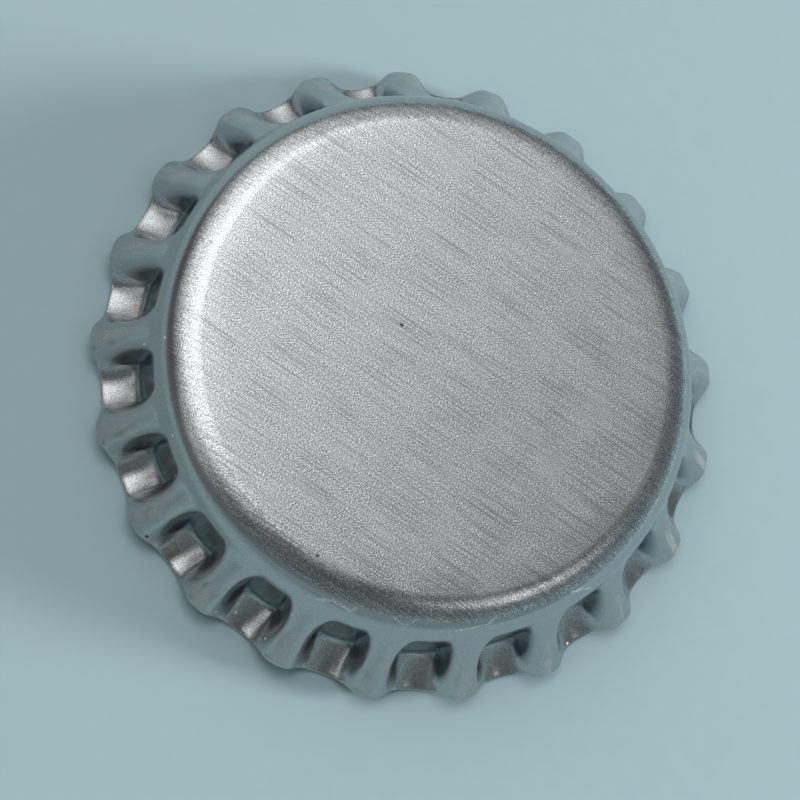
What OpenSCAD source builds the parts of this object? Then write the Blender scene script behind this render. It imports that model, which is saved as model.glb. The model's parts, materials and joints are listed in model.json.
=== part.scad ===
// Crown bottle cap, as pressed and before it is crimped onto a bottle.
// One piece of thin tinplate: a flat round panel, a rounded shoulder, a short
// upright wall and a flared skirt pressed into a ring of flutes. Each flute is
// a pocket with an upright back wall and a sloping lip, between two teeth.
// Units are millimetres. The cap stands on its lips on Z = 0, with its axis
// on Z and one tooth on +Y.

/* [Cap] */
// Height from the lowest edge of the lips to the top of the panel
height = 6; // [5.6:0.1:6.6]
// Inside diameter of the wall, which seats on the mouth of a bottle
inside_d = 26.75; // [26.3:0.05:27.2]
// Thickness of the sheet
sheet_t = 0.24; // [0.18:0.01:0.28]
// Radius of the shoulder, measured on the outside
shoulder_r = 2; // [1.4:0.1:2.3]

/* [Skirt] */
// Number of teeth round the skirt
teeth = 21; // [18:1:24]
// How far the edges of the pocket lips stand out from the wall
lip_reach = 1.735; // [1.5:0.005:1.9]
// How far the tips of the teeth stand out past the edges of the lips
tip_reach = 0.7; // [0.5:0.05:0.9]
// Height of the crisp corner between a pocket's back wall and its lip
corner_h = 1.15; // [0.9:0.05:1.5]
// Height of the tooth tips above the edges of the lips
tip_lift = 0.7; // [0.4:0.05:1]
// Angle short of upright, in degrees, at which the flutes cut into the shoulder
flute_top = 14; // [8:1:20]
// Radius of the curve on which a tooth's crest leaves the shoulder
crest_r = 1.6; // [1.2:0.1:2]
// How far a lip sags below a straight line from the corner to its edge
lip_sag = 0.09; // [0:0.01:0.12]
// How far the sides of the trough in a lip would rise by the crests beside it
lip_trough = 1.6; // [0.8:0.1:1.8]
// Share of a flute that is pocket floor at the top of the pocket
arch_share = 0.3; // [0.2:0.02:0.36]
// Share of a flute that is pocket floor at the corner
floor_share = 0.47; // [0.4:0.01:0.52]
// Share of a flute that is straight lip at the bottom edge
lip_share = 0.3; // [0.2:0.02:0.4]
// Share of a flute that lies between the domes of two teeth at the corner
top_share = 0.78; // [0.74:0.02:0.9]
// Share of the back wall down which the arch over a pocket opens
arch_end = 0.6; // [0.5:0.05:0.8]
// How far a pocket's floor is dished, as a share of the depth to the crest
floor_dish = 0.1; // [0:0.02:0.2]
// How domed a crest is, from 0 for flat to 1 for evenly round
crest_dome = 0.5; // [0.4:0.05:0.8]

/* [Hidden] */

// Columns of the skins across one half of a flute, from crest (0) to pocket
// (1), and rows down a pocket's back wall and its lip
half_marks = [0, 0.14, 0.28, 0.42, 0.56, 0.74, 1];
wall_rows = 6;
lip_rows = 2;
half_steps = len(half_marks) - 1;
// Sides of the circle that rounds the shoulder
shoulder_fn = 64;
columns = teeth * 2 * half_steps;
rows = wall_rows + lip_rows;

// Where the fluted skins follow the wall they lie this far inside its
// cylinders, so the wall itself stays truly round.
skin_sink = 0.03;
// Small step that gives the direction of a skin
nudge = 0.01;
// How far a skin runs on into the solid above it and past the cut edge
overrun = 0.5;

// Shares of a tooth's side that are rounded: at its foot on the back wall, at
// its foot on the edge of the lip, and under the crest
foot_round = 0.15;
lip_foot_round = 0.5;
crest_round = 0.5;
// Share of a flute that a tooth's side takes up at the top of a pocket
arch_side = 0.12;
// Length of lip in which the trough deepens to about two thirds of its full depth
trough_start = 0.35;

wall_r = inside_d / 2 + sheet_t;
flat_r = wall_r - shoulder_r * cos(flute_top);
bend_z = height - shoulder_r;
wall_top = bend_z + shoulder_r * sin(flute_top);
skin_r = wall_r - skin_sink;
lip_r = wall_r + lip_reach;
lip_slope = atan((corner_h - sheet_t) / lip_reach);
// The sag flattens the lip at its edge. The cut edge is square to it there, so
// the edge's outer corner stands this high.
edge_slope = lip_slope - atan(4 * lip_sag * cos(lip_slope) / lip_reach);
lip_edge_h = sheet_t * cos(edge_slope);

// Points of the two profiles, as [radius, height]
start = [skin_r, wall_top];
corner = [skin_r, corner_h + skin_sink * tan(lip_slope)];
lip_edge = [lip_r, lip_edge_h];
tip = [lip_r + tip_reach, lip_edge_h + tip_lift];

wall_len = wall_top - corner[1];
lip_len = norm(lip_edge - corner);
// Where the corner lies down a pocket, from 0 at the top to 1 at the edge
corner_at = wall_len / (wall_len + lip_len);

// A crest leaves the shoulder on an arc and runs straight on to the tip
arc_centre = start + crest_r * [cos(flute_top), sin(flute_top)];
arc_to_tip = tip - arc_centre;
straight_len = sqrt(arc_to_tip * arc_to_tip - crest_r * crest_r);
arc_turn = atan2(-arc_to_tip[1], -arc_to_tip[0]) - atan2(straight_len, crest_r);
arc_len = crest_r * (arc_turn - flute_top) * PI / 180;
crest_len = arc_len + straight_len;

function mix(a, b, t) = a + (b - a) * t;
function clamp(t) = min(max(t, 0), 1);
function unit(v) = v / norm(v);

// How far down the back wall and down the lip a share v lies, each from 0 to 1
function down_wall(v) = clamp(v / corner_at);
function down_lip(v) = clamp((v - corner_at) / (1 - corner_at));

// Profile down a pocket, at the share v of its length: straight down the back
// wall, then out on the sagging lip, whose sides rise into a trough
function pocket(u, v) =
    let (t = down_lip(v))
    let (trough = lip_trough * u * u * (1 - exp(-t * lip_len / trough_start)))
    let (bowl = trough - 4 * lip_sag * t * (1 - t))
    [skin_r, mix(wall_top, corner[1], down_wall(v))]
    + t * (lip_edge - corner)
    + bowl * [sin(lip_slope), cos(lip_slope)];

// Profile down the crest of a tooth, at the share v of its length
function crest(v) =
    let (run = v * crest_len, turn = mix(flute_top, arc_turn, min(run / arc_len, 1)))
    arc_centre - crest_r * [cos(turn), sin(turn)]
    + max(run - arc_len, 0) * [sin(arc_turn), -cos(arc_turn)];

// Side of a tooth, from the pocket's floor (0) to the crest (1): a rounded
// foot, a straight flank and a rounded top
function side(t, foot) =
    let (slope = 1 / (2 - foot - crest_round))
    t < foot ? slope * t * t / foot
    : t < 1 - crest_round ? slope * (2 * t - foot)
    : 1 - slope * (1 - t) * (1 - t) / crest_round;

// Blend from pocket (0) to crest (1), where u runs from 0 in the middle of a
// pocket to 1 on a crest. An arch opens down the back wall and closes again
// down the lip.
function rise(u, v) =
    let (open = sin(90 * min(down_wall(v) / arch_end, 1)), t = down_lip(v))
    let (low = mix(mix(arch_share, floor_share, open), lip_share, t))
    let (high = mix(mix(arch_share + arch_side, top_share, open), 1, t))
    let (flank = side(clamp((u - low) / (high - low)), mix(foot_round, lip_foot_round, t)))
    let (dome = 1 - pow(1 - clamp((u - low) / (1 - low)), 2))
    mix(floor_dish * (1 - t) * u * u, 1, mix(flank, dome, crest_dome * (1 - t)));

// Point on the outer skin, where angle is measured from the tooth on +Y
function skin(angle, v) =
    let (turns = angle * teeth / 360)
    let (u = 1 - 2 * abs(turns - round(turns)))
    let (p = mix(pocket(u, v), crest(v), rise(u, v)))
    [-p[0] * sin(angle), p[0] * cos(angle), p[1]];

// Unit vectors down the skin and square out of it
function down(angle, v) = unit(skin(angle, min(v + nudge, 1)) - skin(angle, max(v - nudge, 0)));
function outward(angle, v) = unit(cross(down(angle, v), skin(angle + nudge, v) - skin(angle - nudge, v)));

function row_share(i) =
    i < wall_rows
    ? corner_at * i / wall_rows
    : mix(corner_at, 1, (i - wall_rows) / lip_rows);

// Angle of a column, counted from the crest on +Y, where flutes are mirrored
// halves
function column_angle(j) =
    let (half = floor(j / half_steps), k = j % half_steps)
    let (mark = half % 2 == 0 ? half_marks[k] : 1 - half_marks[half_steps - k])
    (half + mark) * 180 / teeth;

// Ring of points at one depth below the skin, run on past the cut edge by run
function skin_ring(v, depth, run = 0) = [
    for (j = [0 : columns - 1])
    let (angle = column_angle(j))
    skin(angle, v) - depth * outward(angle, v) + (run == 0 ? [0, 0, 0] : run * down(angle, v))
];
function skin_rings(depth, last) = [for (i = [0 : last]) skin_ring(row_share(i), depth)];

// Closed solid whose side runs down through a list of rings, closed at each
// end by a cone to a point on the axis
module ring_solid(rings, bottom_z) {
    count = len(rings) * columns;
    sides = [
        for (i = [0 : len(rings) - 2], j = [0 : columns - 1])
        let (a = i * columns + j, b = i * columns + (j + 1) % columns)
        each [[a, b, a + columns], [b, b + columns, a + columns]]
    ];
    ends = [
        for (j = [0 : columns - 1])
        let (next = (j + 1) % columns)
        each [[count, next, j], [count + 1, count - columns + j, count - columns + next]]
    ];
    polyhedron(
        concat([for (ring = rings) each ring], [[0, 0, wall_top + overrun], [0, 0, bottom_z]]),
        concat(sides, ends)
    );
}

// Solid of revolution under the panel, the shoulder and the wall, drawn in
// from the outside of the sheet by depth and reaching down to low. The wall
// cuts the shoulder short where the flutes start.
module round_body(depth, low) {
    foot = low - overrun;
    intersection() {
        translate([0, 0, low]) cylinder(r = wall_r - depth, h = height + overrun - low, $fn = columns);
        rotate_extrude($fn = columns) {
            translate([0, foot]) square([wall_r + overrun, bend_z - foot]);
            translate([0, foot]) square([flat_r, height - depth - foot]);
            translate([flat_r, bend_z]) circle(shoulder_r - depth, $fn = shoulder_fn);
        }
    }
}

// Everything inside the outer skin of the skirt, with the cut edge carried on
// through the sheet
module skirt_body() {
    ring_solid(concat(skin_rings(0, rows), [skin_ring(1, 2 * sheet_t)]), -height / 3);
}

// Everything inside the inner skin of the skirt, carried on past its edge
module skirt_hollow() {
    ring_solid(concat(skin_rings(sheet_t, rows - 1), [skin_ring(1, sheet_t, overrun)]), -height);
}

module cap_shell() {
    color([0.62, 0.63, 0.64])
    difference() {
        union() {
            round_body(0, corner_h / 2);
            skirt_body();
        }
        round_body(sheet_t, -height / 2);
        skirt_hollow();
    }
}

cap_shell();
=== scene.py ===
"""Looks of a crown bottle cap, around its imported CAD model.

One finely meshed shell stands for the CAD shell. It has the same form, with the pockets' corners
and the cut edge rounded as pressing leaves them. Lengths of the cap and the floor are in
millimetres until their meshes are made, and everything else is in the frame's metres. One tooth is
on +Y and the axis is Z.
"""
import json
from math import cos, pi, radians, sin

import bpy
import numpy as np
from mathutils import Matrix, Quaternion, Vector


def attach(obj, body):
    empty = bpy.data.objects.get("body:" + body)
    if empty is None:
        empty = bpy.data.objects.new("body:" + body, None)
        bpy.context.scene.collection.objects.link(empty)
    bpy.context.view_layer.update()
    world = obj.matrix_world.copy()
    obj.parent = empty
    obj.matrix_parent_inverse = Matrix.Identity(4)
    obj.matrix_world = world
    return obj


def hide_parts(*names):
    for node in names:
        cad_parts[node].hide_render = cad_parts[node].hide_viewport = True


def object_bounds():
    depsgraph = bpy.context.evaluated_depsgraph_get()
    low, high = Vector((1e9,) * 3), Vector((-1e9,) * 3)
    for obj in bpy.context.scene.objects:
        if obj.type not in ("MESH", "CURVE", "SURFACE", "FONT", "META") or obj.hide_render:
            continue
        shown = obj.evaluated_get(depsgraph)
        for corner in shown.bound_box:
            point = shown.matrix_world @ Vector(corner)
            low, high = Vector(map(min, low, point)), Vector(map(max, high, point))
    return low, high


MM = 0.001

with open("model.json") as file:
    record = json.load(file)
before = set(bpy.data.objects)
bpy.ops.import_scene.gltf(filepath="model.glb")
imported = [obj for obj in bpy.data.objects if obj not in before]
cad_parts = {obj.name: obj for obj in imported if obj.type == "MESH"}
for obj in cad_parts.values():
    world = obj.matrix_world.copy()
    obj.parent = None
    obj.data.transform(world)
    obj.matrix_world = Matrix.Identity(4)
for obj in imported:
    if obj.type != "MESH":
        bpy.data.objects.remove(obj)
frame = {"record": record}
cad_box = [list(corner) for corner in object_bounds()]
seat = next(m for m in frame["record"]["mounts"] if m["name"] == "mouth_seat")

# ---------------------------------------------------------------- sizes, in mm
TEETH = 21
SHEET = 0.24
HEIGHT = cad_box[1][2] / MM
TIP_R = cad_box[1][1] / MM
WALL_R = seat["dims"]["r_mm"] + SHEET
SHOULDER_R = 2.0
WALL_TOP = HEIGHT - SHOULDER_R
# How far the edges of the pocket lips stand out from the wall
LIP_REACH = 1.735
# Height of the corner between a pocket's back wall and its lip
CORNER_H = 1.15
# Height of the tooth tips above the edges of the lips
TIP_LIFT = 0.7
# Angle short of upright, in degrees, at which the flutes start on the shoulder
FLUTE_TOP = 14
# Radius of the curve on which a tooth's crest leaves the shoulder
CREST_R = 1.6
# Length over which a pocket's corner is rounded, in the middle of the pocket and by the crests
CORNER_SOFT = 0.3
CREST_SOFT = 1.6
# Length over which the slope of the shoulder dies away down a pocket's back wall
TOP_SOFT = 0.5
# How far a lip sags below a straight line, and how far the sides of its trough would rise by
# the crests beside it
LIP_SAG = 0.09
LIP_TROUGH = 1.6
# Length over which the trough starts, out from the corner
TROUGH_START = 0.35
# How far the cut edge bulges, and the lift that keeps it from reaching below the CAD model
EDGE_BULGE = 0.07
EDGE_LIFT = 0.006

# Shares of a flute that are pocket floor: at the pocket's top, at its corner and at the bottom edge
ARCH_SHARE = 0.3
FLOOR_SHARE = 0.47
LIP_SHARE = 0.3
# Share of a flute that the sides of two teeth take up at the top of a pocket
ARCH_SIDE = 0.12
# Share of a flute that lies between the domes of two teeth at the corner
TOP_SHARE = 0.78
# Share of the back wall down which the arch over a pocket opens
ARCH_END = 0.6
# Share of a lip over which it eases out of the back wall's form
LIP_EASE = 0.2
# How far a pocket's floor is dished, as a share of the depth to the crest
FLOOR_DISH = 0.1
# How domed a crest is, from 0 for flat to 1 for evenly round
CREST_DOME = 0.5
# Rounded shares of a tooth's side: at its foot by the wall and by the lip, and at its crest
FOOT_ROUND = 0.15
LIP_FOOT_ROUND = 0.5
CREST_ROUND = 0.5

# ---------------------------------------------------------------- mesh density
COLUMNS = TEETH * 38
PANEL_ROWS = 8
SHOULDER_ROWS = 14
EDGE_ROWS = 6
# Rings down a pocket's back wall, round its corner and down its lip
SKIRT_ROWS = (16, 8, 11)
# How far the rings round the corner reach to each side of it, in mm
CORNER_NEAR = 0.3
# Step in angle and share over which the skin's slopes are measured
SLOPE_STEP = 0.004

# ---------------------------------------------------------------- surface
# Direction of the rolling lines over the panel, in degrees from +X
ROLLING_ANGLE = 20
# Noise cells per mm. Rolling lines have a count along them, across them and upward.
GRAIN_CELLS = 11
SPECKLE_CELLS = 16
CLOUD_CELLS = 0.5
DRAW_CELLS = 5
FINE_LINE_CELLS = (0.8, 13, 1)
LONG_LINE_CELLS = (0.25, 18, 1)
# Cells of the drawn noise down the skirt, as a share of those round it
DRAW_STRETCH = 0.12
# Relief in mm for a noise that runs from 0 to 1
GRAIN_RELIEF = 0.006
LINE_RELIEF = 0.005
DRAW_RELIEF = 0.005
# How much of the grain the drawn skirt and the lips have, where the top has 1
SKIRT_GRAIN = 0.2
LIP_GRAIN = 0.45
# Lowest and highest roughness of the drawn skirt and of the satin top and lips
DRAWN_ROUGH = (0.16, 0.22)
SATIN_ROUGH = (0.23, 0.28)
# How much rougher dirt, dust and scratches are, and how dull the strips of painted reflection by
# the crests are beside them
DULL_ROUGH = 0.3
SHEEN_DULL = 0.5

# Most of a noise lies between these levels
NOISE_SPAN = (0.3, 0.7)
# Levels of a noise between which a look fades, and after them the strengths it fades between
SPECKLE_FADE = (0.25, 0.75)
ROLLED_FADE = (0.56, 0.65, 0, 0.75)
# The painted reflection beside the crests fades with the speckle and cloud noises
SHEEN_SPECKLE_FADE = (0.2, 0.8, 0.4, 1)
SHEEN_CLOUD_FADE = (0.4, 0.6, 0.4, 1)
SCRATCH_FADE = (0.4, 0.6)
# Strengths of the painted shade in a recess between its drawn lines and on them
RECESS_SHADE_STRENGTHS = (1, 0.75)

# Where each kind of surface fades from nothing to full, as heights in mm
TOP_HEIGHTS = (5.4, 5.65)
LIP_HEIGHTS = (1.3, 1.0)
# Heights over which the painted shade in the recesses fades in at the top and out at the foot
RECESS_TOP_HEIGHTS = (4.4, 3.8)
RECESS_FOOT_HEIGHTS = (1.05, 1.25)
# Heights between which the painted reflection beside the crests fades in
SHEEN_HEIGHTS = (3.6, 2.2)
# The same as shares of a flute past the nearest tooth, and as shares of a crest's reach
POCKET_OFFSETS = (0.14, 0.26)
# Offsets between which the painted reflection beside each crest fades in and out
SHEEN_START_OFFSETS = (-0.09, -0.05)
SHEEN_END_OFFSETS = (0.06, 0.02)
# Reaches over which the painted shade in the recesses fades out away from the wall
RECESS_REACHES = (0.8, 0.35)
# Least reach in mm, so that nothing is divided by zero
LEAST_REACH = 0.05

METAL = (0.47, 0.475, 0.48, 1)
GRAIN_DARK = (0.21, 0.235, 0.24, 1)
GRAIN_LIGHT = (0.89, 0.92, 0.915, 1)
ROLLED_DARK = (0.33, 0.34, 0.35, 1)
# Painted shade in the recesses by the pockets' back walls
RECESS_PAINTED_SHADE = (0.165, 0.20, 0.215, 1)
# Painted reflection in a strip beside each crest
CREST_PAINTED_SHEEN = (0.50, 0.49, 0.48, 1)
SPECK_DARK = (0.05, 0.03, 0.02, 1)
DUST_LIGHT = (0.80, 0.80, 0.78, 1)
PAPER_DARK = (0.39, 0.54, 0.58, 1)
PAPER_LIGHT = (0.42, 0.58, 0.62, 1)
# The paper's noise cells per metre, and its lowest and highest roughness
PAPER_CELLS = 900
PAPER_ROUGH = (0.6, 0.75)


# ---------------------------------------------------------------- form of the skirt
LIP_SLOPE = np.arctan2(CORNER_H - SHEET, LIP_REACH)
EDGE_SLOPE = LIP_SLOPE - np.arctan(4 * LIP_SAG * cos(LIP_SLOPE) / LIP_REACH)
EDGE_H = SHEET * cos(EDGE_SLOPE) + EDGE_LIFT
CORNER = np.array([WALL_R, CORNER_H])
LIP_EDGE = np.array([WALL_R + LIP_REACH, EDGE_H])
TIP = np.array([TIP_R, EDGE_H + TIP_LIFT])

# The flutes start on the shoulder, FLUTE_TOP degrees before it turns upright
START_TURN = radians(FLUTE_TOP)
FLAT_R = WALL_R - SHOULDER_R * cos(START_TURN)
START = np.array([WALL_R, WALL_TOP + SHOULDER_R * sin(START_TURN)])
WALL_LEN = START[1] - CORNER_H
LIP_LEN = np.linalg.norm(LIP_EDGE - CORNER)
POCKET_LEN = WALL_LEN + LIP_LEN
CORNER_AT = 1 - LIP_LEN / POCKET_LEN

ARC_CENTRE = START + CREST_R * np.array([cos(START_TURN), sin(START_TURN)])
to_tip = TIP - ARC_CENTRE
straight_len = np.sqrt(to_tip @ to_tip - CREST_R**2)
ARC_TURN = np.arctan2(-to_tip[1], -to_tip[0]) - np.arctan2(straight_len, CREST_R)
ARC_LEN = CREST_R * (ARC_TURN - START_TURN)
CREST_LEN = ARC_LEN + straight_len
# Height at which the straight part of a crest, run on upward, would meet the wall
CREST_TOP = TIP[1] + (TIP_R - WALL_R) / np.tan(ARC_TURN)


def unit(vectors):
    return vectors / np.linalg.norm(vectors, axis=-1, keepdims=True)


def blend(low, high, t):
    return low + (high - low) * t


def after_corner(run, soft):
    """Length gone past a corner at 0 that is rounded over the length soft on both its sides."""
    return np.where(np.abs(run) < soft, (run + soft) ** 2 / (4 * soft), np.maximum(run, 0))


def pocket(across, share):
    """Radius and height down a pocket: down its upright back wall and out its troughed lip."""
    run = share * POCKET_LEN - WALL_LEN
    soft = blend(CORNER_SOFT, CREST_SOFT, across**2)
    back = after_corner(-run, soft)
    out = after_corner(run, soft)
    down_lip = unit(LIP_EDGE - CORNER)
    square = np.array([-down_lip[1], down_lip[0]])
    along = np.clip(out / LIP_LEN, 0, 1)
    trough = LIP_TROUGH * across**2 * (1 - np.exp(-out / TROUGH_START))
    bowl = trough + 4 * LIP_SAG * along * (along - 1)
    gone = share * POCKET_LEN
    swell = np.tan(START_TURN) * gone * np.exp(-gone / TOP_SOFT)
    return (
        CORNER
        + np.stack([swell, back], axis=-1)
        + out[..., None] * down_lip
        + bowl[..., None] * square
    )


def crest(share):
    """Radius and height down the crest of a tooth: an arc off the shoulder, then straight."""
    run = share * CREST_LEN
    turn = START_TURN + np.minimum(run, ARC_LEN) / CREST_R
    arc = ARC_CENTRE - CREST_R * np.stack([np.cos(turn), np.sin(turn)], axis=-1)
    straight = np.maximum(run - ARC_LEN, 0)[..., None]
    return arc + straight * np.array([sin(ARC_TURN), -cos(ARC_TURN)])


def rise(across, share):
    """Blend from pocket (0) to crest (1), across half a flute."""
    down_wall = np.clip(share / CORNER_AT, 0, 1)
    down_lip = np.clip((share - CORNER_AT) / (1 - CORNER_AT), 0, 1)
    down_lip = down_lip**2 * (1 + LIP_EASE) / (down_lip + LIP_EASE)
    arch = np.sin(np.minimum(down_wall / ARCH_END, 1) * np.pi / 2)
    floor = blend(blend(ARCH_SHARE, FLOOR_SHARE, arch), LIP_SHARE, down_lip)
    top = blend(blend(ARCH_SHARE + ARCH_SIDE, TOP_SHARE, arch), 1, down_lip)
    foot = blend(FOOT_ROUND, LIP_FOOT_ROUND, down_lip)
    dome = blend(CREST_DOME, 0, down_lip)
    flank = np.clip((across - floor) / (top - floor), 0, 1)
    slope = 1 / (2 - foot - CREST_ROUND)
    low = slope * flank**2 / foot
    straight = slope * (2 * flank - foot)
    high = 1 - slope * (1 - flank) ** 2 / CREST_ROUND
    side = np.where(flank < foot, low, np.where(flank < 1 - CREST_ROUND, straight, high))
    over = np.clip((across - floor) / (1 - floor), 0, 1)
    side = blend(side, 1 - (1 - over) ** 2, dome)
    dish = FLOOR_DISH * (1 - down_lip) * across**2
    return dish + (1 - dish) * side


def skin(angle, share):
    """Point on the outer skin of the skirt. Angle is in radians from the tooth on +Y."""
    turns = angle * TEETH / (2 * np.pi)
    across = 1 - 2 * np.abs(turns - np.round(turns))
    up = rise(across, share)[..., None]
    radius, height = np.moveaxis(pocket(across, share) * (1 - up) + crest(share) * up, -1, 0)
    return np.stack([-radius * np.sin(angle), radius * np.cos(angle), height], axis=-1)


def skin_frame(angle, share):
    """Unit vectors down the skin and square out of it."""
    low = skin(angle, np.minimum(share + SLOPE_STEP, 1))
    high = skin(angle, np.maximum(share - SLOPE_STEP, 0))
    down = unit(low - high)
    turn = SLOPE_STEP / TEETH
    along = skin(angle + turn, share) - skin(angle - turn, share)
    return down, unit(np.cross(down, along))


# ---------------------------------------------------------------- the shell's mesh
def turned(radius, height, angle):
    """Rings of points from one profile of radii and heights."""
    radius, height = radius[:, None], height[:, None]
    level = height + 0 * angle[None, :]
    return np.stack([-radius * np.sin(angle), radius * np.cos(angle), level], axis=-1)


def skirt_shares():
    """Shares down the skirt where its rings lie, closest together round the pockets' corner."""
    near = CORNER_NEAR / POCKET_LEN
    marks = [0, CORNER_AT - near, CORNER_AT + near, 1 - EDGE_BULGE / POCKET_LEN]
    spans = zip(marks, marks[1:], SKIRT_ROWS)
    rows = [np.linspace(start, end, count, endpoint=False) for start, end, count in spans]
    return np.concatenate([*rows, marks[-1:]])


def shell_rings():
    """All rings of the closed shell, from the panel's centre out, over the edge and back inside."""
    angle = np.arange(COLUMNS) * 2 * np.pi / COLUMNS
    panel_r = np.linspace(FLAT_R / PANEL_ROWS, FLAT_R, PANEL_ROWS, endpoint=False)
    bend = np.linspace(0, np.pi / 2 - START_TURN, SHOULDER_ROWS, endpoint=False)
    angles, shares = np.meshgrid(angle, skirt_shares())
    middle = skin(angles, shares)
    down, outward = skin_frame(angles, shares)

    def side(depth):
        round_r = SHOULDER_R - depth
        radius = np.concatenate([panel_r, FLAT_R + round_r * np.sin(bend)])
        height = np.concatenate(
            [np.full(PANEL_ROWS, HEIGHT - depth), WALL_TOP + round_r * np.cos(bend)]
        )
        return np.concatenate([turned(radius, height, angle), middle - depth * outward])

    swing = np.linspace(0, np.pi, EDGE_ROWS + 1)[1:-1, None, None]
    core = middle[-1] - SHEET / 2 * outward[-1]
    edge = core + SHEET / 2 * np.cos(swing) * outward[-1] + EDGE_BULGE * np.sin(swing) * down[-1]
    return np.concatenate([side(0), edge, side(SHEET)[::-1]])


def mesh_object(name, points, faces):
    mesh = bpy.data.meshes.new(name)
    mesh.from_pydata((np.asarray(points) * MM).tolist(), [], faces)
    mesh.update()
    mesh.shade_smooth()
    made = bpy.data.objects.new(name, mesh)
    bpy.context.collection.objects.link(made)
    return made


def make_shell():
    rings = shell_rings()
    points = np.concatenate([rings.reshape(-1, 3), [[0, 0, HEIGHT], [0, 0, HEIGHT - SHEET]]])
    top, under = len(points) - 2, len(points) - 1
    last = (len(rings) - 1) * COLUMNS
    faces = []
    for j in range(COLUMNS):
        k = (j + 1) % COLUMNS
        faces.append((top, j, k))
        faces.append((under, last + k, last + j))
        for start in range(0, last, COLUMNS):
            below = start + COLUMNS
            faces.append((start + j, below + j, below + k, start + k))
    return mesh_object("shell", points, faces)


# ---------------------------------------------------------------- materials
class Nodes:
    """Makes and links the nodes of one material or world."""

    def __init__(self, owner):
        owner.use_nodes = True
        self.tree = owner.node_tree

    def add(self, kind, inputs=(), **settings):
        """New node with the given settings. An input takes a value or another node's output."""
        made = self.tree.nodes.new("ShaderNode" + kind)
        for name, value in settings.items():
            setattr(made, name, value)
        for name, value in dict(inputs).items():
            self.feed(made.inputs[name], value)
        return made

    def feed(self, socket, value):
        if isinstance(value, bpy.types.NodeSocket):
            self.tree.links.new(value, socket)
        else:
            socket.default_value = value

    def math(self, operation, first, second=0.0):
        return self.add("Math", {0: first, 1: second}, operation=operation).outputs[0]

    def product(self, *factors):
        result = factors[0]
        for factor in factors[1:]:
            result = self.math("MULTIPLY", result, factor)
        return result

    def vector(self, operation, first, second=(0, 0, 0), output="Vector"):
        made = self.add("VectorMath", {0: first, 1: second}, operation=operation)
        return made.outputs[output]

    def noise(self, place, scale, detail=2.0):
        made = self.add("TexNoise", {"Vector": place, "Scale": scale, "Detail": detail})
        return made.outputs[0]

    def fade(self, value, start, end, low=0.0, high=1.0):
        """Smooth step of a value from low at start to high at end."""
        limits = {"Value": value, "From Min": start, "From Max": end, "To Min": low, "To Max": high}
        return self.add("MapRange", limits, interpolation_type="SMOOTHSTEP").outputs[0]

    def tint(self, share, first, second):
        """Colour from first to second as share goes from 0 to 1."""
        colors = {"Factor": share, "A": first, "B": second}
        return self.add("Mix", colors, data_type="RGBA").outputs["Result"]


def at(angle, radius, height):
    """Point in mm at an angle in degrees round the cap from +Y."""
    angle = radians(angle)
    return Vector((-radius * sin(angle), radius * cos(angle), height))


def on_shoulder(angle, slope):
    """Point in mm on the shoulder, slope degrees down from the panel."""
    slope = radians(slope)
    return at(angle, FLAT_R + SHOULDER_R * sin(slope), WALL_TOP + SHOULDER_R * cos(slope))


def on_skirt(angle, share):
    """Point in mm on the skirt, at a share of the way down it."""
    return Vector(skin(radians(angle), share).tolist())


# Specks of dirt, and how far each one reaches, in mm
DIRT_SIZE = 0.13
DIRT = [at(103, 2.3, HEIGHT), at(200, 11.8, HEIGHT), on_skirt(174, 0.93)]
# Grains of white dust, and how far each one reaches, in mm
DUST_SIZE = 0.10
DUST = [
    on_shoulder(140, 54),
    on_shoulder(160, 68),
    on_skirt(140, 0.2),
    on_skirt(167, 0.23),
    on_skirt(192, 0.92),
    on_skirt(195, 0.87),
    on_skirt(202, 0.85),
    on_skirt(203, 0.29),
    on_skirt(235, 0.43),
    on_skirt(264, 0.96),
]
# Scratches: width in mm, strength, and a run of angles and slopes on the shoulder in degrees
SCRATCHES = [
    (0.13, 0.7, [(205, 58), (207, 50), (208, 47), (211, 50), (212, 52), (213, 44)]),
    (0.07, 0.5, [(221, 41), (224, 51), (226, 39)]),
    (0.07, 0.5, [(235, 54), (242, 47), (244, 37)]),
    (0.07, 0.5, [(267, 58), (262, 43), (265, 47)]),
]


def spots(nodes, place, points, size):
    """1 at each point in mm, fading to 0 at the given distance from it."""
    nearest = nodes.vector("DISTANCE", place, points[0], "Value")
    for point in points[1:]:
        distance = nodes.vector("DISTANCE", place, point, "Value")
        nearest = nodes.math("MINIMUM", distance, nearest)
    return nodes.fade(nearest, size, size / 3, 0, 1)


def streak(nodes, place, points, width):
    """1 along a run of straight lines between points in mm, fading to 0 at width from it."""
    nearest = None
    for start, end in zip(points, points[1:]):
        line = end - start
        gone = nodes.vector("SUBTRACT", place, start)
        share = nodes.vector("DOT_PRODUCT", gone, line / line.length_squared, "Value")
        share = nodes.math("MINIMUM", nodes.math("MAXIMUM", share, 0.0), 1.0)
        foot = nodes.add("VectorMath", {0: line, "Scale": share}, operation="SCALE").outputs[0]
        distance = nodes.vector("DISTANCE", gone, foot, "Value")
        nearest = nodes.math("MINIMUM", distance, nearest) if nearest else distance
    return nodes.fade(nearest, width, width / 3, 0, 1)


def dirt_and_dust(nodes, place, grain):
    """How much of each point is dirt, and how much is dust or a scratch."""
    dirt = spots(nodes, place, DIRT, DIRT_SIZE)
    dust = spots(nodes, place, DUST, DUST_SIZE)
    for width, strength, points in SCRATCHES:
        mark = streak(nodes, place, [on_shoulder(*point) for point in points], width)
        mark = nodes.product(mark, nodes.fade(grain, *SCRATCH_FADE, strength / 3, strength))
        dust = nodes.math("MAXIMUM", dust, mark)
    return dirt, dust


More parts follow.
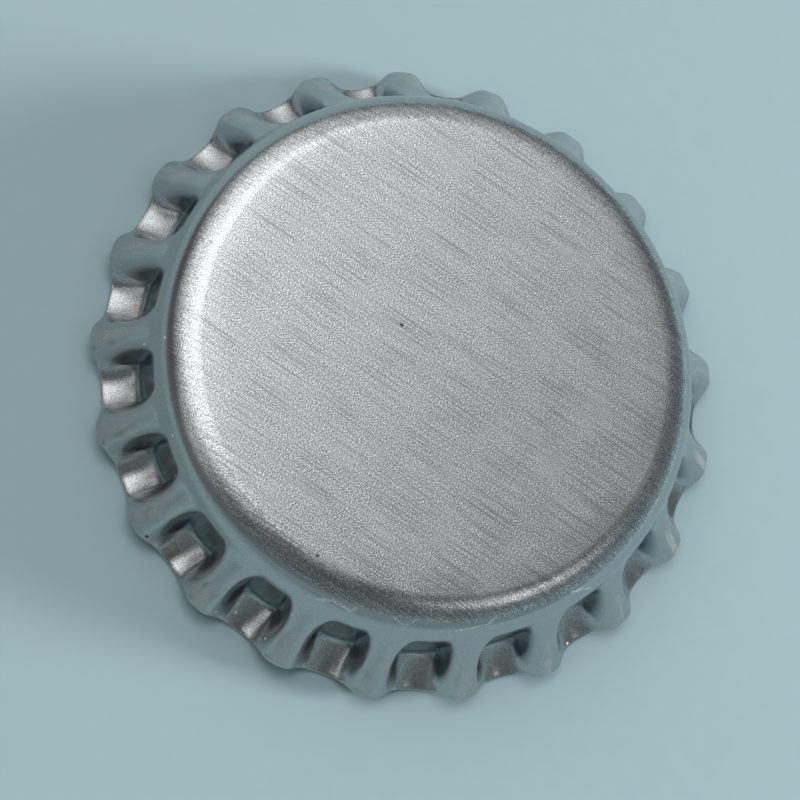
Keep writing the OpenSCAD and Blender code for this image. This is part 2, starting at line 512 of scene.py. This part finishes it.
def areas(nodes, place):
    """How much of each point is on the top, on a lip, under the painted shade of a recess and under
    the painted reflection beside a crest.
    """
    x, y, height = nodes.add("SeparateXYZ", {0: place}).outputs
    around = nodes.math("ARCTAN2", nodes.product(x, -1.0), y)
    turns = nodes.product(around, TEETH / (2 * pi))
    # Share of a flute past the nearest tooth, from -0.5 to 0.5
    offset = nodes.math("SUBTRACT", turns, nodes.math("ROUND", turns))
    in_pocket = nodes.fade(nodes.math("ABSOLUTE", offset), *POCKET_OFFSETS)
    on_top = nodes.fade(height, *TOP_HEIGHTS)
    on_lip = nodes.product(in_pocket, nodes.fade(height, *LIP_HEIGHTS))

    # The painted shade of a recess lies close to the wall, as a share of how far out a crest is at
    # that height
    outward = nodes.vector("MULTIPLY", place, (1, 1, 0))
    out = nodes.math("SUBTRACT", nodes.vector("LENGTH", outward, output="Value"), WALL_R)
    fall = nodes.math("SUBTRACT", CREST_TOP, height)
    reach = nodes.math("MAXIMUM", nodes.product(fall, np.tan(ARC_TURN)), LEAST_REACH)
    recess_shade = nodes.product(
        nodes.fade(nodes.math("DIVIDE", out, reach), *RECESS_REACHES),
        nodes.fade(height, *RECESS_TOP_HEIGHTS),
        nodes.fade(height, *RECESS_FOOT_HEIGHTS),
    )
    # A strip of painted reflection on one side of each crest
    crest_sheen = nodes.product(
        nodes.fade(offset, *SHEEN_START_OFFSETS),
        nodes.fade(offset, *SHEEN_END_OFFSETS),
        nodes.fade(height, *SHEEN_HEIGHTS),
    )
    return on_top, on_lip, recess_shade, crest_sheen


def rolled_noise(nodes, place, cells, detail):
    """Noise drawn out along the rolling direction."""
    turn = {"Vector": place, "Axis": (0, 0, 1), "Angle": -radians(ROLLING_ANGLE)}
    rolled = nodes.add("VectorRotate", turn, rotation_type="AXIS_ANGLE").outputs[0]
    return nodes.noise(nodes.vector("MULTIPLY", rolled, cells), 1, detail=detail)


def drawn_noise(nodes, place):
    """Noise drawn out down the skirt."""
    outward = nodes.vector("NORMALIZE", nodes.vector("MULTIPLY", place, (1, 1, 0)))
    round_wall = nodes.vector("MULTIPLY", outward, (WALL_R, WALL_R, 0))
    upward = nodes.vector("MULTIPLY", place, (0, 0, DRAW_STRETCH))
    return nodes.noise(nodes.vector("ADD", round_wall, upward), DRAW_CELLS, detail=2)


def tinplate():
    """Satin tinplate: grain and rolling lines on top, drawn smoother down the skirt."""
    material = bpy.data.materials.new("satin tinplate")
    nodes = Nodes(material)
    shader = nodes.tree.nodes["Principled BSDF"]
    place = nodes.add("TexCoord").outputs["Object"]
    place = nodes.vector("MULTIPLY", place, (1 / MM, 1 / MM, 1 / MM))
    on_top, on_lip, recess_shade, crest_sheen = areas(nodes, place)
    fine_lines = rolled_noise(nodes, place, FINE_LINE_CELLS, detail=1)
    long_lines = rolled_noise(nodes, place, LONG_LINE_CELLS, detail=0)
    draw_lines = drawn_noise(nodes, place)
    grain = nodes.noise(place, GRAIN_CELLS, detail=1)
    speckle = nodes.noise(place, SPECKLE_CELLS, detail=1)
    cloud = nodes.noise(place, CLOUD_CELLS, detail=3)
    dirt, dust = dirt_and_dust(nodes, place, grain)

    # Relief in mm: grain everywhere, rolling lines on top and drawn lines below
    grainy = nodes.fade(on_top, 0, 1, SKIRT_GRAIN, 1)
    grainy = nodes.math("MAXIMUM", grainy, nodes.product(on_lip, LIP_GRAIN))
    relief = nodes.product(grain, grainy, GRAIN_RELIEF)
    relief = nodes.math("ADD", relief, nodes.product(fine_lines, on_top, LINE_RELIEF))
    drawn = nodes.product(draw_lines, nodes.fade(on_top, 0, 1, DRAW_RELIEF, 0))
    relief = nodes.math("ADD", relief, drawn)
    bump = nodes.add("Bump", {"Height": relief, "Distance": MM, "Strength": 1.0})
    nodes.feed(shader.inputs["Normal"], bump.outputs[0])

    # Colour: speckled metal, darker in the rolling lines, with painted shade in the recesses and a
    # lighter painted reflection beside the crests
    specks = nodes.tint(nodes.fade(speckle, *SPECKLE_FADE), GRAIN_DARK, GRAIN_LIGHT)
    color = nodes.tint(grainy, METAL, specks)
    scored = nodes.product(nodes.fade(long_lines, *ROLLED_FADE), on_top)
    color = nodes.tint(scored, color, ROLLED_DARK)
    # Painted shade in the recesses, weaker on the drawn lines
    shaded = nodes.product(recess_shade, nodes.fade(draw_lines, *NOISE_SPAN, *RECESS_SHADE_STRENGTHS))
    color = nodes.tint(shaded, color, RECESS_PAINTED_SHADE)
    # Painted reflection beside the crests, speckled and clouded
    sheen = nodes.product(crest_sheen, nodes.fade(speckle, *SHEEN_SPECKLE_FADE))
    sheen = nodes.product(sheen, nodes.fade(cloud, *SHEEN_CLOUD_FADE))
    color = nodes.tint(sheen, color, CREST_PAINTED_SHEEN)
    color = nodes.tint(dirt, color, SPECK_DARK)
    color = nodes.tint(dust, color, DUST_LIGHT)
    nodes.feed(shader.inputs["Base Color"], color)

    # Dirt, dust and scratches aren't metal and are rougher, and the strips of painted reflection by
    # the crests are so in part
    dull = nodes.math("MAXIMUM", dirt, dust)
    dull = nodes.math("MAXIMUM", dull, nodes.product(sheen, SHEEN_DULL))
    nodes.feed(shader.inputs["Metallic"], nodes.fade(dull, 0, 1, 1, 0))
    rough = {
        "Factor": nodes.math("MAXIMUM", on_top, on_lip),
        "A": nodes.fade(draw_lines, *NOISE_SPAN, *DRAWN_ROUGH),
        "B": nodes.fade(cloud, *NOISE_SPAN, *SATIN_ROUGH),
    }
    rough = nodes.add("Mix", rough, data_type="FLOAT").outputs[0]
    rough = nodes.math("ADD", rough, nodes.product(dull, DULL_ROUGH))
    nodes.feed(shader.inputs["Roughness"], rough)
    return material


def floor_paper():
    """Pale matt paper with a faint fibre."""
    material = bpy.data.materials.new("pale floor")
    nodes = Nodes(material)
    shader = nodes.tree.nodes["Principled BSDF"]
    place = nodes.add("TexCoord").outputs["Object"]
    fibre = nodes.noise(place, PAPER_CELLS, detail=3)
    color = nodes.tint(fibre, PAPER_DARK, PAPER_LIGHT)
    nodes.feed(shader.inputs["Base Color"], color)
    nodes.feed(shader.inputs["Roughness"], nodes.fade(fibre, *NOISE_SPAN, *PAPER_ROUGH))
    return material


# ---------------------------------------------------------------- the cap
shell = make_shell()
shell.data.materials.append(tinplate())
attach(shell, "root")
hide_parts("cap_shell")

# ---------------------------------------------------------------- floor, light and camera
# Half the floor's width, in mm
FLOOR_HALF = 400

# Soft patches of light: angle from +Y and elevation in degrees, the two radii in degrees between
# which each fades out, and its level
PATCHES = (
    (96, 62, 1, 36, 1.0),
    (40, 64, 1, 18, 0.9),
    (60, 75, 1, 20, 0.85),
    (44, 45, 1, 45, 0.5),
    (137, 62, 1, 24, 0.75),
    (291, 57, 1, 13, 1.3),
    (152, 34, 1, 18, 0.5),
    (75, 30, 1, 30, 0.5),
    (112, 32, 1, 18, 0.4),
    (1, 50, 1, 25, 0.1),
)
# Colour of the surroundings at the sine of the height above a horizon. Its upward direction leans
# LEAN degrees off +Z, toward LEAN_FROM degrees from +Y.
LEAN = 29
LEAN_FROM = 80
HORIZON = (
    (0.0, (0.25, 0.34, 0.37, 1)),
    (0.06, (0.16, 0.19, 0.19, 1)),
    (0.35, (0.16, 0.175, 0.19, 1)),
    (0.65, (0.08, 0.08, 0.08, 1)),
    (1.0, (0.0, 0.0, 0.0, 1)),
)

# Sides are an angle from +Y and an elevation in degrees, and lengths are in metres
LAMP_SIDE = (317, 18)
LAMP_DISTANCE = 0.4
LAMP_SIZE = 0.09
LAMP_WATTS = 1.5
CAMERA_TARGET = (0.00055, -0.001775, 0.003)
CAMERA_SIDE = (181.33, 68.36)
CAMERA_DISTANCE = 0.1779
CAMERA_NEAR = 0.01
# The camera's roll in degrees, and its focal length and sensor width in mm
CAMERA_ROLL = 51.1
FOCAL_LENGTH = 164.3
SENSOR_WIDTH = 36

floor = mesh_object(
    "floor",
    [(x * FLOOR_HALF, y * FLOOR_HALF, 0) for x, y in ((-1, -1), (1, -1), (1, 1), (-1, 1))],
    [(0, 1, 2, 3)],
)
floor.data.materials.append(floor_paper())


def from_side(angle, elevation):
    """Unit vector at an angle round the cap from +Y and an elevation, in degrees."""
    angle, elevation = radians(angle), radians(elevation)
    level = cos(elevation)
    return Vector((-level * sin(angle), level * cos(angle), sin(elevation)))


def soft_lamp(name, place, size, power):
    """Square lamp that lights the floor and the dull marks, aimed at the cap."""
    lamp = bpy.data.lights.new(name, "AREA")
    lamp.size = size
    lamp.energy = power
    made = bpy.data.objects.new(name, lamp)
    made.visible_glossy = False
    made.location = place
    made.rotation_mode = "QUATERNION"
    made.rotation_quaternion = place.to_track_quat("Z", "Y")
    bpy.context.collection.objects.link(made)


def make_world():
    """Dim surroundings, brightest low down, with soft patches of light in them."""
    world = bpy.data.worlds.new("studio")
    bpy.context.scene.world = world
    nodes = Nodes(world)
    direction = nodes.add("TexCoord").outputs["Generated"]
    climb = nodes.vector("DOT_PRODUCT", direction, from_side(LEAN_FROM, 90 - LEAN), "Value")
    ramp = nodes.add("ValToRGB", {0: climb})
    stops = ramp.color_ramp.elements
    stops[0].position, stops[0].color = HORIZON[0]
    stops[1].position, stops[1].color = HORIZON[-1]
    for position, color in HORIZON[1:-1]:
        stops.new(position).color = color
    light = ramp.outputs[0]
    for angle, elevation, inner, outer, level in PATCHES:
        near = nodes.vector("DOT_PRODUCT", direction, from_side(angle, elevation), "Value")
        glow = nodes.fade(near, cos(radians(outer)), cos(radians(inner)), 0, level)
        light = nodes.vector("ADD", light, glow)
    nodes.feed(nodes.tree.nodes["Background"].inputs["Color"], light)


def make_camera():
    away = from_side(*CAMERA_SIDE)
    lens = bpy.data.cameras.new("camera")
    lens.lens = FOCAL_LENGTH
    lens.sensor_width = SENSOR_WIDTH
    lens.clip_start = CAMERA_NEAR
    camera = bpy.data.objects.new("camera", lens)
    camera.location = Vector(CAMERA_TARGET) + away * CAMERA_DISTANCE
    camera.rotation_mode = "QUATERNION"
    roll = Quaternion((0, 0, 1), radians(CAMERA_ROLL))
    camera.rotation_quaternion = away.to_track_quat("Z", "Y") @ roll
    bpy.context.collection.objects.link(camera)
    bpy.context.scene.camera = camera


make_world()
soft_lamp("key", from_side(*LAMP_SIDE) * LAMP_DISTANCE, LAMP_SIZE, LAMP_WATTS)
make_camera()
bpy.context.scene.view_settings.view_transform = "Standard"
